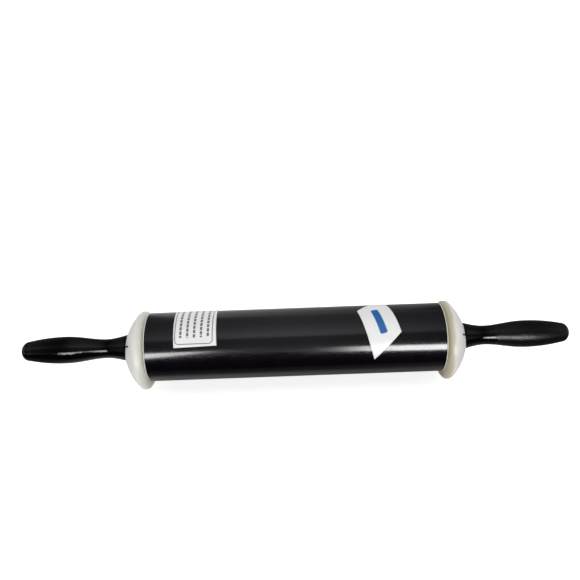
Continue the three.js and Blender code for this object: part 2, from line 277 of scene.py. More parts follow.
# %% Make the end plugs
flange_radius = (plug_high.z - plug_low.z) / 2
sleeve_clearance = 0.1 * mm
sleeve_wall = 2.4 * mm
sleeve_depth = 14 * mm
web_thickness = 3 * mm
plug_bore = 7 * mm
plug_hub_radius = 10 * mm
hidden_edge = 0.15 * mm
plug_sides = 160

sleeve_radius = tube_bore - sleeve_clearance
sleeve_bore = sleeve_radius - sleeve_wall
sleeve_back = tube_end - sleeve_depth
web_back = plug_high.x - web_thickness
plug_corners = [
    (sleeve_back, sleeve_radius),
    (tube_end, sleeve_radius),
    (tube_end, flange_radius),
    (plug_high.x, flange_radius),
    (plug_high.x, plug_bore),
    (plug_low.x, plug_bore),
    (plug_low.x, plug_hub_radius),
    (web_back, plug_hub_radius),
    (web_back, sleeve_bore),
    (sleeve_back, sleeve_bore),
]
plug_grid = turned(edged(plug_corners, [hidden_edge] * len(plug_corners)), plug_sides)
plugs = both_ends(
    lambda side, grid: skin(f"{side}_plug_shell", grid, ring=True),
    plug_grid, "barrel", "end_plug",
)

# %% [markdown]
# ## The gauge discs
#
# The disc's outside turns about its own axis, while the socket for the handle, the hub and the bore turn
# about the axle, a few millimetres higher. So the grid's columns are directions about the disc's axis, and
# a circle about the axle is a reach that changes with the direction. Down each column the surface runs from
# the inner lip over the rounded rim, the tread and the dome into the socket, through the bore and back
# along the hollow inside. Shallow coves run round the dome, where the lathe tool stopped.

# %% Give the sizes of a disc
disc_depth = 24.5 * mm
rim_round = 8 * mm
tread_start = 4.5 * mm
tread_width = 1.8 * mm
dome_shoulder = 3.4 * mm
dome_crown_radius = 17 * mm
coves_from_inner = 12.2 * mm, 16.8 * mm, 19.9 * mm
cove_half_width = 0.9 * mm
cove_depth = 0.3 * mm
cavity_radius = 27.25 * mm
cavity_straight = 10 * mm
ceiling_radius = 14 * mm
disc_wall = 4.5 * mm
socket_radius = 12.6 * mm
socket_depth = 8.3 * mm
socket_lip = 1.2 * mm
bore_radius = 8.1 * mm
disc_hub_radius = 15.1 * mm
hub_setback = 6 * mm
groove_middle = 10.2 * mm
groove_width = 2.5 * mm
groove_depth = 2.25 * mm
groove_turn = math.radians(30)
groove_sweep = math.radians(180)

disc_sides = 224
rim_steps = 14
dome_steps = 60
lip_steps = 4
dome_samples = 400

disc_inner = disc_low.x
disc_crown = disc_inner + disc_depth
socket_floor = disc_crown - socket_depth
heading = full_turn(disc_sides)
level = np.ones(disc_sides)
print(f"discs {2 * rim_radius / mm:.2f} mm across, {disc_depth / mm:.1f} mm deep")

# %% Draw the disc's curves
tread_inner = disc_inner + tread_start
tread_outer = tread_inner + tread_width
rim_curve = bezier(
    (disc_inner, rim_radius - rim_round),
    (disc_inner, rim_radius - rim_round / 2),
    (disc_inner + tread_start / 2, rim_radius),
    (tread_inner, rim_radius),
    rim_steps,
)
dome_curve = bezier(
    (tread_outer, rim_radius),
    (tread_outer + dome_shoulder, rim_radius),
    (disc_crown, dome_crown_radius),
    (disc_crown, 0),
    dome_samples,
)
from_coves = (dome_curve[:, :1] - disc_inner - np.array(coves_from_inner)) / cove_half_width
dome_curve[:, 1] -= cove_depth * np.exp(-(from_coves**2)).sum(axis=1)


def reach(radius):
    """How far a circle about the axle lies from the disc's axis, in each direction."""
    return off_centre * np.cos(heading) + np.sqrt(radius**2 - (off_centre * np.sin(heading)) ** 2)


def dome_at(distance):
    """Where the dome's surface lies along the axle, at a distance from the disc's axis."""
    return np.interp(distance, dome_curve[::-1, 1], dome_curve[::-1, 0])


# %% Make the rows of a disc's grid
def rim_rows():
    """Rows of circles about the disc's axis, over the rounded rim."""
    return rim_curve[:, :1] * level, rim_curve[:, 1:] * level


def dome_rows():
    """Rows from the tread to the socket's lip. They share out the dome's curve evenly in each direction."""
    share = np.linspace(0, 1, len(dome_curve))
    stop = np.interp(reach(socket_radius + socket_lip), dome_curve[::-1, 1], share[::-1])
    places = np.linspace(0, 1, dome_steps + 1)[:, None] * stop
    return np.interp(places, share, dome_curve[:, 0]), np.interp(places, share, dome_curve[:, 1])


def lip_rows():
    """Rows over a quarter round, from the dome down into the socket."""
    angle = np.linspace(0, quarter_turn, lip_steps + 1)[1:]
    along = [dome_at(reach(socket_radius + socket_lip)) - socket_lip * (1 - math.cos(a)) for a in angle]
    away = [reach(socket_radius + socket_lip * (1 - math.sin(a))) for a in angle]
    return along, away


def groove_floor():
    """The socket's floor, sunk where the stop pin's half-turn groove runs."""
    across = -reach(groove_middle) * np.sin(heading)
    height = reach(groove_middle) * np.cos(heading) - off_centre
    turn = np.arctan2(-across, height)
    from_middle = np.abs((turn - groove_turn + math.pi) % (2 * math.pi) - math.pi)
    half_sweep = (groove_sweep + groove_width / groove_middle) / 2
    return np.where(from_middle < half_sweep, socket_floor - groove_depth, socket_floor)


def socket_rows():
    """Rows down the socket, across its floor and groove, through the bore and out to the hub's outside."""
    floor = socket_floor * level
    hub_end = (disc_inner + hub_setback) * level
    groove_outer = reach(groove_middle + groove_width / 2)
    groove_inner = reach(groove_middle - groove_width / 2)
    along = [
        floor + socket_lip, floor, floor, groove_floor(), groove_floor(), floor,
        floor, hub_end, hub_end,
    ]
    away = [
        reach(socket_radius), reach(socket_radius), groove_outer, groove_outer, groove_inner, groove_inner,
        reach(bore_radius), reach(bore_radius), reach(disc_hub_radius),
    ]
    return along, away


def hollow_rows():
    """Rows from the hub along the hollow's sloping ceiling and straight wall to the inner lip."""
    ceiling = disc_crown - disc_wall
    slope = (0, ceiling_radius, cavity_radius), (ceiling, ceiling, disc_inner + cavity_straight)
    at_hub = reach(disc_hub_radius)
    at_slope = np.maximum(at_hub, ceiling_radius)
    wall = cavity_radius * level
    along = [*(np.interp(away, *slope) for away in (at_hub, at_slope, wall)), disc_inner * level]
    return along, [at_hub, at_slope, wall, wall]


# %% Make the gauge discs
sections = [rim_rows(), dome_rows(), lip_rows(), socket_rows(), hollow_rows()]
disc_along, disc_away = (np.vstack([section[i] for section in sections]) for i in (0, 1))
disc_grid = np.stack(
    [disc_along, -disc_away * np.sin(heading), disc_height + disc_away * np.cos(heading)],
    axis=-1,
)
discs = both_ends(
    lambda side, grid: skin(f"{side}_disc_shell", grid, ring=True),
    disc_grid, "{side}_gauge", "gauge_disc",
)

# %% [markdown]
# ## The index bars
#
# A thin black bar is let into each disc beside the handle, and shows how far the disc has been turned. Its
# face follows the disc's own surface and stands a little proud of it, so it can't be a flat box: every ring
# of its grid is a rounded oblong, laid on the dome.

# %% Make the index bars
bar_length = 10 * mm
bar_width = 1.6 * mm
bar_depth = 1.5 * mm
bar_proud = 0.3 * mm
bar_from_socket = 0.5 * mm
bar_turn = math.radians(31)
bar_sides = 64
bar_rows = 12
bar_squareness = 8
bar_flatness = 8


def bar_grid():
    """Rings of a squared ellipse, out over the bar's face to its edge and back in along its foot."""
    angle = full_turn(bar_sides)
    power = bar_squareness
    square = (np.abs(np.sin(angle)) ** power + np.abs(np.cos(angle)) ** power) ** (-1 / power)
    share = np.sin(np.linspace(0, quarter_turn, bar_rows))[:, None]
    sideways = share * square * np.sin(angle) * bar_width / 2
    outward = socket_radius + bar_from_socket + (1 + share * square * np.cos(angle)) * bar_length / 2
    across = -outward * math.sin(bar_turn) + sideways * math.cos(bar_turn)
    height = axle_height + outward * math.cos(bar_turn) + sideways * math.sin(bar_turn)
    dome = dome_at(np.hypot(across, height - disc_height))
    face = np.stack([dome + bar_proud * (1 - share**bar_flatness), across, height], axis=-1)
    foot = np.stack([dome - bar_depth, across, height], axis=-1)
    return np.concatenate([face, foot[::-1]])


bars = both_ends(
    lambda side, grid: skin(f"{side}_bar_inlay", grid),
    bar_grid(), "{side}_gauge", "index_bar",
)

# %% [markdown]
# ## The handles
#
# Each handle is turned in one piece: a spigot that the disc sits on, a collar in the disc's socket, then
# the grip with its neck, belly, heel and rounded tip. The grip is four Bezier stretches that share their
# directions where they meet, so that the highlight runs along it without a kink. The bore for the axle ends
# inside the belly.

# %% Give the sizes of a handle
spigot_radius = 8 * mm
collar_radius = 12.3 * mm
neck_radius = 8.9 * mm
belly_radius = 12.5 * mm
heel_radius = 9 * mm
collar_to_neck = 19.5 * mm
neck_to_belly = 38.5 * mm
belly_to_heel = 33.5 * mm
heel_to_tip = 7 * mm
grip_ease = 1 / 3
belly_ease = 0.4
heel_fullness = 0.7
tip_fullness = 0.55
shaft_bore = 4.1 * mm
bore_spare = 0.1 * mm
collar_clearance = 0.1 * mm
handle_sides = 144
grip_steps = 28

tip_at = handle_high.x
heel_at = tip_at - heel_to_tip
belly_at = heel_at - belly_to_heel
neck_at = belly_at - neck_to_belly
collar_end = neck_at - collar_to_neck
collar_seat = socket_floor + collar_clearance
bore_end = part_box("axle_shaft")[1].x + bore_spare


# %% Make the handles
def stretch(start, start_radius, end, end_radius, start_aim=None, end_aim=None, end_ease=grip_ease):
    """A stretch of the grip. It leaves and arrives level, or aims for another radius on its way."""
    return bezier(
        (start, start_radius),
        (start + grip_ease * (end - start), start_aim or start_radius),
        (end - end_ease * (end - start), end_aim or end_radius),
        (end, end_radius),
        grip_steps,
    )


collar_aim = (collar_radius + neck_radius) / 2
heel_aim = heel_radius + (belly_radius - heel_radius) * heel_fullness
tip_curve = bezier(
    (heel_at, heel_radius),
    (heel_at + heel_to_tip * tip_fullness, heel_radius),
    (tip_at, heel_radius * tip_fullness),
    (tip_at, 0),
    grip_steps,
)
handle_profile = np.vstack([
    (bore_end, 0),
    (bore_end, shaft_bore),
    (handle_low.x, shaft_bore),
    (handle_low.x, spigot_radius),
    (collar_seat, spigot_radius),
    (collar_seat, collar_radius),
    stretch(collar_end, collar_radius, neck_at, neck_radius, start_aim=collar_aim),
    stretch(neck_at, neck_radius, belly_at, belly_radius, end_ease=belly_ease)[1:],
    stretch(belly_at, belly_radius, heel_at, heel_radius, end_aim=heel_aim)[1:],
    tip_curve[1:],
])
handles = both_ends(
    lambda side, grid: skin(f"{side}_grip", grid),
    turned(handle_profile, handle_sides), "axle", "handle",
)

# %% [markdown]
# ## The stickers
#
# Two white stickers lie on the barrel: a square one with a printed border, and a slanted one. Each is a
# flat sheet of two edges, given in millimetres along the tube and round it, and wrapped by turning the
# distance round the tube into an angle. The sheet's own millimetres go into its UV map, so the print can be
# drawn in the sticker's own sizes.

# %% Wrap the stickers
sticker_gap = 0.12 * mm
sticker_thickness = 0.2 * mm
sticker_steps = 36, 64


def sticker(name, node, middle, turn, edges):
    """A four-sided sheet about its middle, wrapped round the tube. UVs are millimetres from the middle."""
    first, second = np.meshgrid(*(np.linspace(-0.5, 0.5, steps) for steps in sticker_steps), indexing="ij")
    along, rise = (first * edges[0][i] + second * edges[1][i] for i in (0, 1))
    angle = turn - rise / tube_radius
    radius = tube_radius + sticker_gap + sticker_thickness
    grid = np.stack(
        [middle + along, -radius * np.sin(angle), axle_height + radius * np.cos(angle)],
        axis=-1,
    )
    piece = sheet(name, grid, np.stack([along, rise], axis=-1) / mm)
    wall = piece.modifiers.new("paper thickness", "SOLIDIFY")
    wall.thickness = sticker_thickness
    wall.offset = -1
    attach(piece, "barrel")
    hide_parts(node)
    return piece


bordered_low, bordered_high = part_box("bordered_label")
bordered_width = 38 * mm
bordered_height = 58 * mm
bordered_turn = math.radians(-16)
bordered_tilt = math.radians(1.5)
bordered_sticker = sticker(
    "bordered_sticker",
    "bordered_label",
    (bordered_low.x + bordered_high.x) / 2,
    bordered_turn,
    [
        (bordered_width * math.cos(bordered_tilt), bordered_width * math.sin(bordered_tilt)),
        (-bordered_height * math.sin(bordered_tilt), bordered_height * math.cos(bordered_tilt)),
    ],
)
slanted_low, slanted_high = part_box("slanted_label")
slanted_short = 24.4 * mm, 24.7 * mm
slanted_long = -12.7 * mm, 48.6 * mm
slanted_turn = math.radians(2.5)
slanted_sticker = sticker(
    "slanted_sticker",
    "slanted_label",
    (slanted_low.x + slanted_high.x) / 2,
    slanted_turn,
    [slanted_short, slanted_long],
)

# %% [markdown]
# ## Shader maths
#
# A finish is mostly sums: a noise times an amount, added to a roughness. Written with node calls, each sum
# takes several lines, so one small class wraps a socket and lets Python's own operators add the Math nodes.
# Any other node comes from its `node` method, which sets the node up first and then fills or links its
# sockets.

# %% Wrap a socket
class Wire:
    """A node's output. Arithmetic with numbers or other wires adds Math nodes to the same material."""

    def __init__(self, socket):
        self.socket = socket

    def node(self, kind, settings=None, inputs=None, output=0):
        """A new node of this kind: its settings first, then the values or links of its sockets."""
        tree = self.socket.id_data
        made = tree.nodes.new("ShaderNode" + kind)
        for key, value in (settings or {}).items():
            if key == "stops":
                fill_ramp(made.color_ramp, value)
            else:
                setattr(made, key, value)
        for key, value in (inputs or {}).items():
            if isinstance(value, Wire):
                tree.links.new(value.socket, made.inputs[key])
            else:
                made.inputs[key].default_value = value
        return Wire(made.outputs[output])

    def math(self, operation, *others):
        """A Math node on this value and the others, in that order."""
        return self.node("Math", {"operation": operation}, dict(enumerate((self, *others))))

    def __add__(self, other):
        return self.math("ADD", other)

    def __sub__(self, other):
        return self.math("SUBTRACT", other)

    def __rsub__(self, other):
        return self.node("Math", {"operation": "SUBTRACT"}, {0: other, 1: self})

    def __mul__(self, other):
        return self.math("MULTIPLY", other)

    def __truediv__(self, other):
        return self.math("DIVIDE", other)

    def __abs__(self):
        return self.math("ABSOLUTE")

    def __lt__(self, other):
        return self.math("LESS_THAN", other)

    def __gt__(self, other):
        return self.math("GREATER_THAN", other)

    __radd__ = __add__
    __rmul__ = __mul__

    def step(self, low, high):
        """0 below low, 1 above high, and a smooth rise between."""
        return self.node(
            "MapRange",
            {"interpolation_type": "SMOOTHSTEP"},
            {"Value": self, "From Min": low, "From Max": high},
        )

    def part(self, name):
        """One coordinate of a vector."""
        return self.node("SeparateXYZ", inputs={"Vector": self}, output=name)

    def vector(self, operation, other, output=0):
        """A Vector Math node on this vector and another."""
        return self.node("VectorMath", {"operation": operation}, {0: self, 1: other}, output)

    def noise(self, size, detail=2, stretch=(1, 1, 1)):
        """Noise from 0 to 1 with patches of about this size, drawn out by the stretch."""
        scaled = self.vector("DIVIDE", tuple(size * amount for amount in stretch))
        return self.node("TexNoise", inputs={"Vector": scaled, "Scale": 1, "Detail": detail})

    def bump(self, depth):
        """A Bump node from this height, with its depth in metres."""
        return self.node("Bump", inputs={"Height": self, "Distance": depth, "Strength": 1})

    def ramp(self, stops):
        """A colour read off a ramp of (position, colour) stops."""
        return self.node("ValToRGB", {"stops": stops}, {"Fac": self})

    def blend(self, first, second):
        """A colour between two others, by this share."""
        return self.node("Mix", {"data_type": "RGBA"}, {0: self, 6: first, 7: second}, output=2)


def fill_ramp(ramp, stops):
    """Sets a ramp's stops from (position, colour) pairs."""
    while len(ramp.elements) > 1:
        ramp.elements.remove(ramp.elements[-1])
    ramp.elements[0].position, ramp.elements[0].color = stops[0]
    for position, colour in stops[1:]:
        ramp.elements.new(position).color = colour


# %% Make a finish from constants and wires
def grey(tone):
    """An opaque grey."""
    return tone, tone, tone, 1


def finish(name, constants, vary, uv=None):
    """A material. Constants sit on the shader's sockets. Vary turns a place in millimetres into wires."""
    material = bpy.data.materials.new(name)
    material.use_nodes = True
    tree = material.node_tree
    shader = tree.nodes["Principled BSDF"]
    for socket, value in constants.items():
        shader.inputs[socket].default_value = value
    coordinates = Wire(tree.nodes.new("ShaderNodeTexCoord").outputs["Object"])
    place = coordinates.vector("DIVIDE", (mm, mm, mm))
    wires = vary(place) if uv is None else vary(place, place.node("UVMap", {"uv_map": uv}))
    for socket, wire in wires.items():
        tree.links.new(wire.socket, shader.inputs[socket])
    print(f"{name}: {len(tree.nodes)} nodes")
    return material


def wear(material, *pieces):
    """Gives pieces their one material."""
    for piece in pieces:
        piece.data.materials.clear()
        piece.data.materials.append(material)


# %% [markdown]
# ## The barrel's coating
#
# The coating is sprayed and baked: black, glossy but not mirror-like, with a fine orange-peel texture that
# breaks the highlight into grain. Turning it in use leaves faint rings. The texture is a bump, because it is
# only hundredths of a millimetre deep, and the rings only change the roughness.

# %% Coat the barrel
coat_black = 0.0016, 0.0006, 0.0026, 1
coat_dusty = 0.005, 0.0035, 0.006, 1
patch_size = 24
patch_dust = 0.4
speck_size = 0.7
speck_cut = 0.74, 0.8
speck_dust = 0.6
peel_size = 1.1
peel_depth = 0.017 * mm
grain_size = 0.9
grain_cut = 0.35, 0.75
ring_stretch = 0.5, 60, 60
coat_gloss = 0.08
grain_dulling = 0.14
patch_dulling = 0.03
ring_dulling = 0.03


def coating(place):
    """Black with a trace of violet and fine specks, dull in patches and rings, over an orange-peel bump."""
    peel = place.noise(peel_size, detail=3)
    patches = place.noise(patch_size)
    rings = place.noise(1, detail=1, stretch=ring_stretch)
    grain = place.noise(grain_size, detail=1).step(*grain_cut)
    specks = place.noise(speck_size, detail=1).step(*speck_cut)
    tone = (patch_dust * patches + speck_dust * specks).blend(coat_black, coat_dusty)
    rough = coat_gloss + grain_dulling * grain + patch_dulling * patches + ring_dulling * rings
    return {"Base Color": tone, "Roughness": rough, "Normal": peel.bump(peel_depth)}


wear(finish("black_coating", {"IOR": 1.45}, coating), barrel)

# %% [markdown]
# ## The handles' plastic
#
# The grips are polished black phenolic plastic. The polish is uneven: the long highlight wavers and breaks
# up where the surface dips, and hands have dulled it in patches and scuffed the right grip from its neck
# on. A slow wave, the chatter of the lathe and fine pits make the bump. The index bars are plainer: black
# with a slight mottle.

# %% Polish the handles
handle_black = grey(0.0008)
handle_dusty = grey(0.002)
wave_size = 5
wave_stretch = 1.4, 1, 1
chatter_size = 1.8
chatter_share = 1.1
pit_size = 0.5
pit_share = 0.04
handled_size = 16
relief_depth = 0.07 * mm
scuffed_from = 182
scuffed_full = 188
scuffed_chatter = 2.6
handle_gloss = 0.04
handled_dulling = 0.05
pit_dulling = 0.03
scuffed_dulling = 0.22


def polished(place):
    """Black, dulled by hands and scuffed on the right grip, over a slow wave, lathe chatter and pits."""
    wave = place.noise(wave_size, stretch=wave_stretch)
    chatter = place.noise(chatter_size)
    pits = place.noise(pit_size)
    handled = place.noise(handled_size)
    scuffed = place.part("X").step(scuffed_from, scuffed_full)
    tone = handled.blend(handle_black, handle_dusty)
    rough = handle_gloss + handled_dulling * handled + pit_dulling * pits + scuffed_dulling * scuffed
    relief = wave + (chatter_share + scuffed_chatter * scuffed) * chatter + pit_share * pits
    return {"Base Color": tone, "Roughness": rough, "Normal": relief.bump(relief_depth)}


wear(finish("black_phenolic", {"IOR": 1.3}, polished), *handles)

# %% Blacken the index bars
inlay_black = grey(0.003)
inlay_dusty = grey(0.01)
inlay_mottle = 0.6


def dark_bar(place):
    """Black with a slight mottle."""
    return {"Base Color": place.noise(inlay_mottle).blend(inlay_black, inlay_dusty)}


wear(finish("black_inlay", {"IOR": 1.3, "Roughness": 0.4}, dark_bar), *bars)

# %% [markdown]
# ## The discs' plastic
#
# The discs are moulded in a milky plastic that lets light a little way in, so their edges glow rather than
# shade. They have yellowed, more so on the side of the barrel, where the left one is greenish and the right
# one tan, and that tint is partly painted shade where the rim turns towards the black barrel. The coves round
# the dome are darkened with painted shade. Fine rings about the disc's axis are left from turning, and scuffs
# roughen the tread. Light inside is the shader's own subsurface, and the colour follows the distance from the
# barrel.

# %% Mould the discs
# The tints near the barrel are partly yellowing and partly painted shade where the rim faces the barrel.
left_stain_and_shade = 0.66, 0.66, 0.59, 1
right_stain_and_shade = 0.51, 0.465, 0.35, 1
clean_dull = 0.77, 0.765, 0.74, 1
clean_bright = 0.85, 0.845, 0.825, 1
stain_and_shade_full = 4.5
stain_and_shade_gone = 9.5
# Painted shade in the coves: how far it pulls the plastic towards its dull tone, and how wide it reaches.
painted_cove_shade = 0.9
painted_cove_shade_reach = 1.2
cloud_size = 11
cloud_drift = 2
turning_scale = 1.4
turning_depth = 0.05 * mm
scuff_size = 1.2
scuff_cut = 0.55, 0.75
scuff_share = 0.4
milky_gloss = 0.32
cloud_dulling = 0.12
scuff_dulling = 0.15


def milky(place):
    """Off-white, yellowed and painted with shade near the barrel, with painted shade in the coves, turning
    rings and a scuffed tread.
    """
    from_axis = place.vector("SUBTRACT", (0, 0, disc_height / mm)).vector("MULTIPLY", (0, 1, 1))
    distance = from_axis.vector("LENGTH", (0, 0, 0), output="Value")
    side = place.part("X")
    clouds = place.noise(cloud_size, detail=3)
    from_inner = abs(side) - disc_inner / mm
    # Near the barrel: yellowing, and painted shade where the rim faces the black barrel.
    stain_and_shade_share = 1 - (from_inner + cloud_drift * clouds).step(stain_and_shade_full, stain_and_shade_gone)
    stain_and_shade_tint = (side > 0).blend(left_stain_and_shade, right_stain_and_shade)
    # Painted shade: the coves are darkened towards the dull tone.
    in_coves = sum(1 - abs(from_inner - cove / mm).step(0, painted_cove_shade_reach) for cove in coves_from_inner)
    clean = (clouds - painted_cove_shade * in_coves).blend(clean_dull, clean_bright)
    rings = distance.node(
        "TexNoise",
        {"noise_dimensions": "1D"},
        {"W": distance, "Scale": turning_scale, "Detail": 3},
    )
    scuffs = place.noise(scuff_size, detail=3).step(*scuff_cut) * stain_and_shade_share
    return {
        "Base Color": stain_and_shade_share.blend(clean, stain_and_shade_tint),
        "Roughness": milky_gloss + cloud_dulling * clouds + scuff_dulling * scuffs,
        "Normal": (rings + scuff_share * scuffs).bump(turning_depth),
    }


milky_light = {
    "IOR": 1.48,
    "Subsurface Weight": 0.6,
    "Subsurface Radius": (1, 0.97, 0.9),
    "Subsurface Scale": 4 * mm,
}
wear(finish("milky_plastic", milky_light, milky), *discs)

# %% [markdown]
# ## The plugs' plastic
#
# The end plugs are moulded in a plainer off-white plastic. Only a thin line of it shows, and a plain grey
# would do there, but seen from close by a soft mottle and a faint grain make it a moulded piece.

# %% Mould the end plugs
plug_dull = 0.66, 0.64, 0.57, 1
plug_pale = 0.74, 0.72, 0.65, 1
mottle_size = 6
mottle_dulling = 0.15
plug_gloss = 0.45
plug_grain = 0.8
plug_grain_depth = 0.01 * mm


def moulded(place):
    """Dull off-white with a soft mottle and a faint grain."""
    mottle = place.noise(mottle_size)
    return {
        "Base Color": mottle.blend(plug_dull, plug_pale),
        "Roughness": plug_gloss + mottle_dulling * mottle,
        "Normal": place.noise(plug_grain).bump(plug_grain_depth),
    }


wear(finish("plug_plastic", {"IOR": 1.4}, moulded), *plugs)

# %% [markdown]
# ## The stickers' paper
#
# Both are satin white paper. The square one keeps its thin dark border with round corners and a few plain
# broken rules, and the slanted one a plain blue stripe with a pale rim. A rounded rectangle is a distance:
# how far a point lies outside the rectangle's core, less the corner's radius. The border is where that
# distance is close to zero.

# %% Measure and print on paper
paper_dull = 0.81, 0.81, 0.805, 1
paper_bright = 0.86, 0.86, 0.855, 1
paper_cloud = 9
paper_gloss = 0.3
fibre_size = 0.4
fibre_dulling = 0.08
fibre_depth = 0.004 * mm


def outside_box(across, up, half_width, half_height, corner):
    """Distance outside a rectangle with round corners, negative inside. All in the sheet's millimetres."""
    x = (abs(across) - (half_width - corner)).math("MAXIMUM", 0)
    y = (abs(up) - (half_height - corner)).math("MAXIMUM", 0)
    return (x * x + y * y).math("SQRT") - corner


def printed(place, ink, tone):
    """White paper with a faint mottle and fibres, and ink of one colour or wire where the ink is 1."""
    fibre = place.noise(fibre_size, detail=3)
    paper = place.noise(paper_cloud).blend(paper_dull, paper_bright)
    return {
        "Base Color": ink.blend(paper, tone),
        "Roughness": paper_gloss + fibre_dulling * fibre,
        "Normal": fibre.bump(fibre_depth),
    }


# %% Print the bordered sticker
border_half_width = 16.6
border_half_height = 26.4
border_corner = 3.2
border_aside = -0.5
border_fade = 0.25, 0.55
border_ink = 0.85
rule_pitch = 6.1
rule_half_width = 1.05
rule_half_length = 20.8
rule_half_count = 2.5
rule_fade = 0.15
rule_ink = 0.9
dash_pitch = 4.2
dash_share = 0.8
dash_shift = 0.37
ink_black = grey(0.08)


def bordered_print(place, sheet_place):
    """A thin rounded border round a few plain rules, each broken into dashes at its own places."""
    across, up = sheet_place.part("X"), sheet_place.part("Y")
    edge = outside_box(across - border_aside, up, border_half_width, border_half_height, border_corner)
    border = 1 - abs(edge).step(*border_fade)
    column = across / rule_pitch + 0.5
    rule = abs(column.math("FRACT") - 0.5) * rule_pitch
    dash = (up / dash_pitch + dash_shift * column.math("FLOOR")).math("FRACT")
    within = (abs(across) < rule_half_count * rule_pitch) * (abs(up) < rule_half_length)
    solid = 1 - rule.step(rule_half_width - rule_fade, rule_half_width + rule_fade)
    rules = solid * (dash < dash_share) * within
    ink = (border_ink * border).math("MAXIMUM", rule_ink * rules)
    return printed(place, ink, ink_black)


# %% Print the slanted sticker
stripe_half_width = 3.2
stripe_half_length = 13
stripe_corner = 1.6
stripe_fade = -0.15, 0.15
stripe_rim_fade = 0.1, 0.9
stripe_blue = 0.012, 0.11, 0.36, 1
stripe_pale = 0.42, 0.62, 0.82, 1


def slanted_print(place, sheet_place):
    """A plain blue stripe along the sticker's long edge, with a pale rim."""
    lean = math.atan2(*slanted_long)
    across, up = sheet_place.part("X"), sheet_place.part("Y")
    sideways = across * math.cos(lean) - up * math.sin(lean)
    lengthwise = across * math.sin(lean) + up * math.cos(lean)
    edge = outside_box(sideways, lengthwise, stripe_half_width, stripe_half_length, stripe_corner)
    rim = 1 - edge.step(*stripe_rim_fade)
    stripe = 1 - edge.step(*stripe_fade)
    return printed(place, rim, stripe.blend(stripe_pale, stripe_blue))


wear(finish("bordered_paper", {"IOR": 1.45}, bordered_print, uv="sheet"), bordered_sticker)
wear(finish("slanted_paper", {"IOR": 1.45}, slanted_print, uv="sheet"), slanted_sticker)

# %% [markdown]
# ## Inside the pin
#
# The axle, its pins and washers, the springs and the bushes are hidden when the pin is whole. Their solids
# already have the right shape, so they stay and only get a metal finish: drawn steel with fine lines along
# it, dark spring steel, and porous bronze.

# %% Finish the inner metal
steel_dull = grey(0.5)
steel_bright = grey(0.62)
line_stretch = 20, 0.25, 0.25
line_depth = 0.004 * mm
steel_gloss = 0.24
line_dulling = 0.16
temper_blue = 0.16, 0.16, 0.175, 1
temper_brown = 0.27, 0.26, 0.25, 1
bloom_size = 3
temper_gloss = 0.3
bloom_dulling = 0.15
bronze_pore = 0.36, 0.22, 0.1, 1
bronze_bright = 0.58, 0.4, 0.2, 1
pore_size = 0.35
pore_depth = 0.02 * mm
bronze_gloss = 0.38
pore_dulling = 0.2


def drawn(place):
    """Bright steel with fine lines along the axle."""
    lines = place.noise(1, detail=3, stretch=line_stretch)
    return {
        "Base Color": lines.blend(steel_dull, steel_bright),
        "Roughness": steel_gloss + line_dulling * lines,
        "Normal": lines.bump(line_depth),
    }


def tempered(place):
    """Dark steel with a brown bloom from the furnace."""
    bloom = place.noise(bloom_size, detail=3)
    return {
        "Base Color": bloom.blend(temper_blue, temper_brown),
        "Roughness": temper_gloss + bloom_dulling * bloom,
    }


def sintered(place):
    """Bronze with fine pores."""
    pores = place.noise(pore_size)
    return {
        "Base Color": pores.blend(bronze_pore, bronze_bright),
        "Roughness": bronze_gloss + pore_dulling * pores,
        "Normal": pores.bump(pore_depth),
    }


metal = {"Metallic": 1}
inner_finishes = {
    "axle_steel": finish("drawn_steel", metal, drawn),
    "spring_steel": finish("tempered_steel", metal, tempered),
    "bush_bronze": finish("sintered_bronze", metal, sintered),
}
for subpart in frame["record"]["subparts"]:
    if subpart["material_slot"] in inner_finishes:
        wear(inner_finishes[subpart["material_slot"]], frame["nodes"][subpart["node"]])

# %% [markdown]
# ## The floor
#
# The pin lies on a white tabletop. More light would turn it white, but would also bleach the pin. So the
# tabletop is a plain white that keeps the pin's soft shadow, and it glows a little where it is looked at.

# %% Lay the floor
floor_reach = 4.0
floor_lift = 0.7
top_dull = grey(0.79)
top_bright = grey(0.81)
top_cloud = 40
floor_corners = np.array([[(-1, -1, 0), (-1, 1, 0)], [(1, -1, 0), (1, 1, 0)]])
floor = sheet("tabletop", floor_reach * floor_corners)


def seen_directly(wire):
    """1 for rays from the camera, from gloss and through glass, 0 for the light that falls on things."""
    kinds = "Camera", "Glossy", "Transmission"
    camera_ray, glossy_ray, glass_ray = (wire.node("LightPath", output=f"Is {kind} Ray") for kind in kinds)
    return (camera_ray + glossy_ray + glass_ray).math("MINIMUM", 1)


def white_top(place):
    """White, and lifted a little towards pure white where it is looked at."""
    return {
        "Base Color": place.noise(top_cloud).blend(top_dull, top_bright),
        "Emission Color": seen_directly(place).blend(grey(0), grey(1)),
    }


floor_light = {"Roughness": 0.9, "Specular IOR Level": 0, "Emission Strength": floor_lift}
wear(finish("white_tabletop", floor_light, white_top), floor)

# %% [markdown]
# ## The room and its lamps
#
# The world lights the pin softly, and the black pieces mirror it, so its brightness changes with the
# direction. A picture of a real room would do this too, but two ramps are easier to adjust: one from the
# front over the top to the back, the other from the middle to the ends. Low down the room is plain and
# pale, so that the background is white from every side. Two soft lamps, which gloss doesn't show, shape the
# discs.

# %% Light the room
room_strength = 1.4
low_sky = grey(0.7)
low_until = 0.28
high_from = 0.42
room_tones = (
    (0.06, 0.64), (0.14, 0.39), (0.2, 0.27), (0.4, 0.27), (0.42, 0.93), (0.47, 0.93),
    (0.53, 0.71), (0.655, 0.44), (0.8, 0.32), (0.88, 0.39), (0.94, 0.63),
)
side_tones = (0.0, 1), (0.2, 0.65), (0.37, 0.1), (0.55, 0.3), (0.85, 1)


def grey_ramp(share, tones):
    """Greys read off a ramp of (position, level) pairs."""
    return share.ramp([(position, grey(tone)) for position, tone in tones])


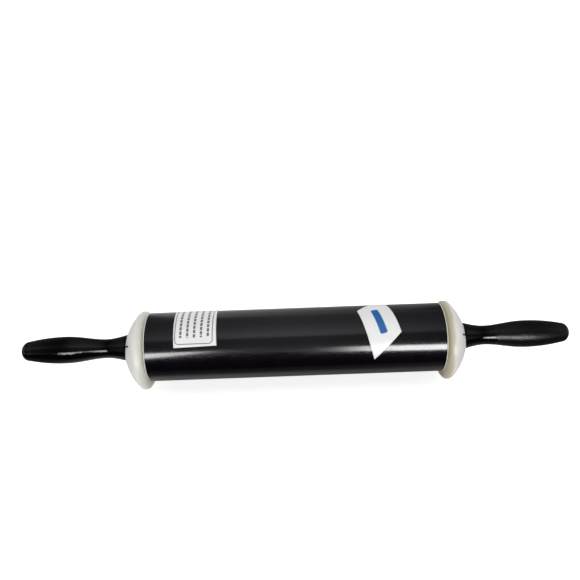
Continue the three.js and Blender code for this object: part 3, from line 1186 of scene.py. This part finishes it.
world = bpy.data.worlds.new("room")
scene.world = world
world.use_nodes = True
direction = Wire(world.node_tree.nodes.new("ShaderNodeTexCoord").outputs["Generated"])
from_front = direction.part("Z").math("ARCTAN2", -1 * direction.part("Y"))
over_the_top = grey_ramp(abs(from_front) / math.pi, room_tones)
to_the_ends = grey_ramp(abs(direction.part("X")), side_tones)
high_room = over_the_top.vector("MULTIPLY", to_the_ends)
room = direction.part("Z").step(low_until, high_from).blend(low_sky, high_room)
background = world.node_tree.nodes["Background"]
background.inputs["Strength"].default_value = room_strength
world.node_tree.links.new(room.socket, background.inputs["Color"])
print(f"room: {len(world.node_tree.nodes)} nodes")


# %% Hang the lamps
def hang_lamp(name, place, width, depth, watts):
    """A soft rectangular lamp that shines at the axle's middle and isn't seen, not even in gloss."""
    data = bpy.data.lights.new(name, "AREA")
    data.shape = "RECTANGLE"
    data.size, data.size_y = width, depth
    data.energy = watts
    lamp = bpy.data.objects.new(name, data)
    scene.collection.objects.link(lamp)
    lamp.location = place
    lamp.rotation_euler = (Vector((0, 0, axle_height)) - Vector(place)).to_track_quat("-Z", "Y").to_euler()
    lamp.visible_camera = False
    lamp.visible_glossy = False
    print(f"{name}: {watts} W")


hang_lamp("overhead", place=(0.1, 0.3, 1.8), width=2.0, depth=1.6, watts=16.5)
hang_lamp("fill", place=(0, -1.3, 0.3), width=1.8, depth=0.5, watts=7)

# %% [markdown]
# ## What is only reflected
#
# The barrel and the handles are black, so what they show is mostly what they reflect. Two bright windows in
# front, one towards each end, draw the long highlights. A dark board behind them and a cloth, black in
# front and grey behind, keep the rest dark up to the rim. Lamps could draw the highlights too, but a sheet
# can have its own outline and fade. These sheets are there for gloss alone: they cast no light on the
# floor, and the camera doesn't see them.

# %% Place what is only reflected
def reflected_only(name, grid, material):
    """A sheet that gloss shows, but that casts no light or shadow and isn't seen by the camera."""
    piece = sheet(name, grid)
    piece.visible_camera = False
    piece.visible_diffuse = False
    piece.visible_shadow = False
    piece.visible_transmission = False
    wear(material, piece)


window_distance = 1.0
window_steps = 25
window_outer = 0.62
window_top = math.radians(36)
window_sill = math.radians(17.5)
haze_share = 0.15
haze_blue = 0.1, 0.12, 0.3, 1


def upright_grid(across, sill, top, distance):
    """A sheet that faces the axle. Its lower and upper edge are angles above the axle, for each column."""
    rise = np.stack([sill, (sill + top) / 2, top], axis=1)
    columns = np.broadcast_to(across[:, None], rise.shape)
    return np.stack(
        [columns, -distance * np.cos(rise), axle_height + distance * np.sin(rise)],
        axis=-1,
    )


def window_glow(inner, full, lower):
    """Bright from the full distance on, dark at the inner one, and blue and dim along the sill."""
    low, high = (window_distance * math.sin(angle - lower) / mm for angle in (window_sill, window_top))

    def glow(place):
        height = place.part("Z") - axle_height / mm
        sky = height.step(low, low + haze_share * (high - low)).blend(haze_blue, grey(1))
        fade = abs(place.part("X")).step(inner / mm, full / mm)
        return {"Emission Color": fade.blend(grey(0), sky)}

    return glow


def open_window(name, side, strength, inner, full, taper_end, lower, sill_rise, top_rise):
    """A window on one side. Towards the pin's middle its edges rise, it narrows and its light fades."""
    across = np.linspace(inner, window_outer, window_steps)
    taper = np.clip((taper_end - across) / (taper_end - inner), 0, 1)
    sill = window_sill - lower + sill_rise * taper
    top = window_top - lower + top_rise * taper
    constants = {"Base Color": grey(0), "Specular IOR Level": 0, "Emission Strength": strength}
    material = finish(f"{name}_light", constants, window_glow(inner, full, lower))
    reflected_only(name, upright_grid(side * across, sill, top, window_distance), material)


# %% Open the windows
open_window(
    "right_window", 1, strength=28, inner=0.085, full=0.25, taper_end=0.38,
    lower=math.radians(5.5), sill_rise=math.radians(9), top_rise=math.radians(4),
)
open_window(
    "left_window", -1, strength=20, inner=0.18, full=0.27, taper_end=0.39,
    lower=math.radians(1.5), sill_rise=math.radians(22), top_rise=math.radians(1),
)

# %% Stand a dark board behind the windows
board_half_width = 1.2
board_top = math.radians(24)
board_distance = 1.03
board_across = board_half_width * np.array([-1, 1])
board_grid = upright_grid(board_across, np.zeros(2), np.full(2, board_top), board_distance)
unlit = {"Base Color": grey(0), "Specular IOR Level": 0, "Roughness": 1}
reflected_only("dark_board", board_grid, finish("unlit_board", unlit, lambda place: {}))

# %% Spread the dark cloth
cloth_half_width = 1.2
cloth_front = -0.45
cloth_front_height = 0.14
cloth_front_bend = -0.17
cloth_back_bend = 0.3
cloth_back = 0.6
cloth_back_height = 0.31
cloth_lift = 1 * mm
cloth_steps = 41
cloth_near = 0.16, 0.15, 0.15, 1
cloth_left = grey(0.95)
cloth_right = grey(0.4)
cloth_ends = grey(0.14)
cloth_black = grey(0.002)
near_until = -64
behind_from = -44
cloth_sweep = 250
ends_from = 190
ends_to = 260
black_from = 65
black_to = 115

cloth_run = np.linspace(cloth_front, cloth_back, cloth_steps)
front_share = np.clip((cloth_front_bend - cloth_run) / (cloth_front_bend - cloth_front), 0, 1)
back_share = np.clip((cloth_run - cloth_back_bend) / (cloth_back - cloth_back_bend), 0, 1)
cloth_rise = cloth_front_height * front_share**2 + cloth_back_height * back_share**2 + cloth_lift
cloth_grid = np.stack(
    np.broadcast_arrays(cloth_half_width * np.array([[-1], [1]]), cloth_run, cloth_rise),
    axis=-1,
)


def cloth_tone(place):
    """Pale grey under the pin and behind it, darker beside the handles and in front, then black."""
    back = place.part("Y")
    aside = place.part("X")
    behind = aside.step(-cloth_sweep, cloth_sweep).blend(cloth_left, cloth_right)
    paler = back.step(near_until, behind_from).blend(cloth_near, behind)
    ends = abs(aside).step(ends_from, ends_to).blend(paler, cloth_ends)
    front = (-1 * back).step(black_from, black_to)
    return {"Base Color": front.blend(ends, cloth_black)}


cloth_matt = {"Roughness": 1, "Specular IOR Level": 0}
reflected_only("dark_cloth", cloth_grid, finish("grey_to_black_cloth", cloth_matt, cloth_tone))
